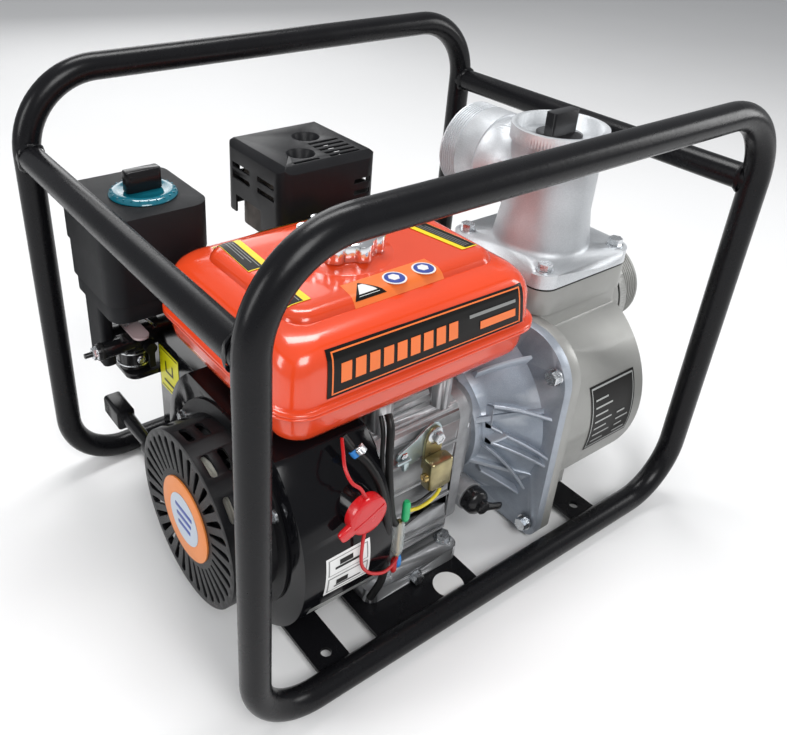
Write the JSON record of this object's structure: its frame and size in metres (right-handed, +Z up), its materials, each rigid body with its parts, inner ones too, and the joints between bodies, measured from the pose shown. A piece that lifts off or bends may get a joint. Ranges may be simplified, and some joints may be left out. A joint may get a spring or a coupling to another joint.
{
  "type": "engine driven water pump",
  "caption": "Self-priming centrifugal water pump driven by a recoil-start petrol engine, held in a welded tube carrying frame with two end cross bars.",
  "frame": {"origin": "on the ground at the middle of the tube frame", "axes": "+X along the crankshaft from the recoil starter to the suction port, +Y from the service side to the cylinder side, +Z up"},
  "size_m": [0.557, 0.412, 0.455],
  "materials": {
    "frame_black": "gloss black powder coat",
    "cast_alloy": "as cast",
    "bright_alloy": "shot blasted casting",
    "bell_alloy": "smooth die casting, cool grey",
    "pump_paint": "warm grey paint on a casting",
    "dark_iron": "as cast",
    "zinc_steel": "zinc plated",
    "plain_steel": "machined",
    "chrome_cap": "polished",
    "tank_orange": "gloss orange-red",
    "satin_black": "fine grain",
    "guard_black": "satin black, pressed sheet",
    "black_rubber": "matte",
    "black_plastic": "moulded",
    "red_plastic": "moulded",
    "teal_plastic": "translucent moulded",
    "smoky_plastic": "translucent",
    "brass_unit": "yellow passivated",
    "filter_foam": "open foam and paper",
    "cord_fabric": "braided cord",
    "white_ceramic": "glazed"
  },
  "bodies": {
    "pump_set": {"near_hoop": "frame_black", "far_hoop": "frame_black", "cross_bars": "frame_black", "engine_plate": "frame_black", "end_strips": "frame_black", "crankcase": "cast_alloy", "side_cover": "cast_alloy", "cylinder_head": "cast_alloy", "rocker_cover": "bright_alloy", "spark_plug": "white_ceramic", "plug_cap": "black_rubber", "foot_bolts": "zinc_steel", "engine_bolts": "zinc_steel", "oil_drain_plugs": "zinc_steel", "main_bearings": "plain_steel", "oil_seals": "black_rubber", "ignition_coil": "satin_black", "fan_shroud": "frame_black", "recoil_cover": "satin_black", "carburettor": "cast_alloy", "air_cleaner_base": "satin_black", "air_cleaner_cover": "satin_black", "air_filter": "filter_foam", "muffler": "plain_steel", "muffler_guard": "guard_black", "guard_screws": "zinc_steel", "tank_top": "tank_orange", "tank_bottom": "tank_orange", "tank_posts": "black_rubber", "oil_alert_unit": "brass_unit", "wiring_loom": "black_plastic", "wire_connectors": "smoky_plastic", "bell_housing": "bell_alloy", "pump_casing": "pump_paint", "casing_bolts": "zinc_steel", "volute_insert": "dark_iron", "shaft_seal": "black_rubber", "port_gaskets": "black_rubber", "suction_port": "pump_paint", "discharge_tower": "bright_alloy"},
    "crank": {"crankshaft": "plain_steel", "flywheel": "cast_alloy", "cooling_fan": "satin_black", "starter_cup": "plain_steel", "impeller": "dark_iron"},
    "cam": {"camshaft": "plain_steel"},
    "piston_body": {"piston": "cast_alloy"},
    "handle": {"starter_handle": "black_plastic"},
    "reel": {"recoil_reel": "satin_black", "starter_rope": "cord_fabric"},
    "fuel_cap_body": {"fuel_cap": "chrome_cap"},
    "filter_knob_body": {"filter_knob": "teal_plastic"},
    "priming_plug_body": {"priming_plug": "black_plastic"},
    "dipstick_body": {"dipstick": "black_plastic"},
    "switch": {"engine_switch": "red_plastic"},
    "choke": {"choke_lever": "smoky_plastic"},
    "fuel_valve": {"fuel_lever": "satin_black"},
    "governor": {"governor_arm": "zinc_steel"},
    "drain_plug": {"casing_drain_plug": "black_plastic"},
    "flap": {"check_flap": "black_rubber"}
  },
  "joints": [
    {"name": "crank_spin", "type": "hinge", "parent": "pump_set", "child": "crank", "pos_m": [0, -0.054, 0.12], "axis": [1, 0, 0], "continuous": true},
    {"name": "cam_spin", "type": "hinge", "parent": "pump_set", "child": "cam", "pos_m": [0, -0.02108, 0.07834], "axis": [1, 0, 0], "continuous": true},
    {"name": "piston_slide", "type": "slide", "parent": "pump_set", "child": "piston_body", "axis": [0, 0.9063, 0.4226], "range_m": [-0.045, 0]},
    {"name": "handle_pull", "type": "slide", "parent": "pump_set", "child": "handle", "axis": [0, 1, 0], "range_m": [0, 0.6], "stiffness_N_per_m": 10, "springref_m": -0.5},
    {"name": "reel_spin", "type": "hinge", "parent": "pump_set", "child": "reel", "pos_m": [0, -0.054, 0.12], "axis": [1, 0, 0], "range_deg": [0, 740]},
    {"name": "fuel_cap_turn", "type": "hinge", "parent": "pump_set", "child": "fuel_cap_body", "pos_m": [-0.084, -0.037, 0.34], "axis": [0, 0, 1], "range_deg": [0, 90]},
    {"name": "filter_knob_turn", "type": "hinge", "parent": "pump_set", "child": "filter_knob_body", "pos_m": [-0.19, 0.12, 0.35], "axis": [0, 0, 1], "range_deg": [0, 1080]},
    {"name": "priming_plug_turn", "type": "hinge", "parent": "pump_set", "child": "priming_plug_body", "pos_m": [0.162, -0.05, 0.39], "axis": [0, 0, 1], "range_deg": [0, 1080]},
    {"name": "dipstick_turn", "type": "hinge", "parent": "pump_set", "child": "dipstick_body", "pos_m": [0.016, -0.145, 0.072], "axis": [0, 1, 0], "range_deg": [-720, 0]},
    {"name": "switch_turn", "type": "hinge", "parent": "pump_set", "child": "switch", "pos_m": [-0.151, -0.175, 0.171], "axis": [0, 1, 0], "range_deg": [0, 60]},
    {"name": "choke_turn", "type": "hinge", "parent": "pump_set", "child": "choke", "pos_m": [-0.215, 0.13, 0.214], "axis": [0, 0, 1], "range_deg": [0, 70]},
    {"name": "fuel_valve_turn", "type": "hinge", "parent": "pump_set", "child": "fuel_valve", "pos_m": [-0.2, 0.111, 0.187], "axis": [0, 1, 0], "range_deg": [0, 90]},
    {"name": "governor_swing", "type": "hinge", "parent": "pump_set", "child": "governor", "pos_m": [-0.06, -0.07, 0.22], "axis": [0, 0, 1], "range_deg": [-10, 10]},
    {"name": "drain_plug_turn", "type": "hinge", "parent": "pump_set", "child": "drain_plug", "pos_m": [0.235, -0.074, 0.042], "axis": [1, 0, 0], "range_deg": [0, 1080]},
    {"name": "flap_swing", "type": "hinge", "parent": "pump_set", "child": "flap", "pos_m": [0.229, -0.057, 0.244], "axis": [0, 1, 0], "range_deg": [0, 40]}
  ],
  "couplings": [
    {"joint": "cam_spin", "follows": "crank_spin", "ratio": -0.5},
    {"joint": "reel_spin", "follows": "handle_pull", "rad_per_m": 21.526}
  ]
}
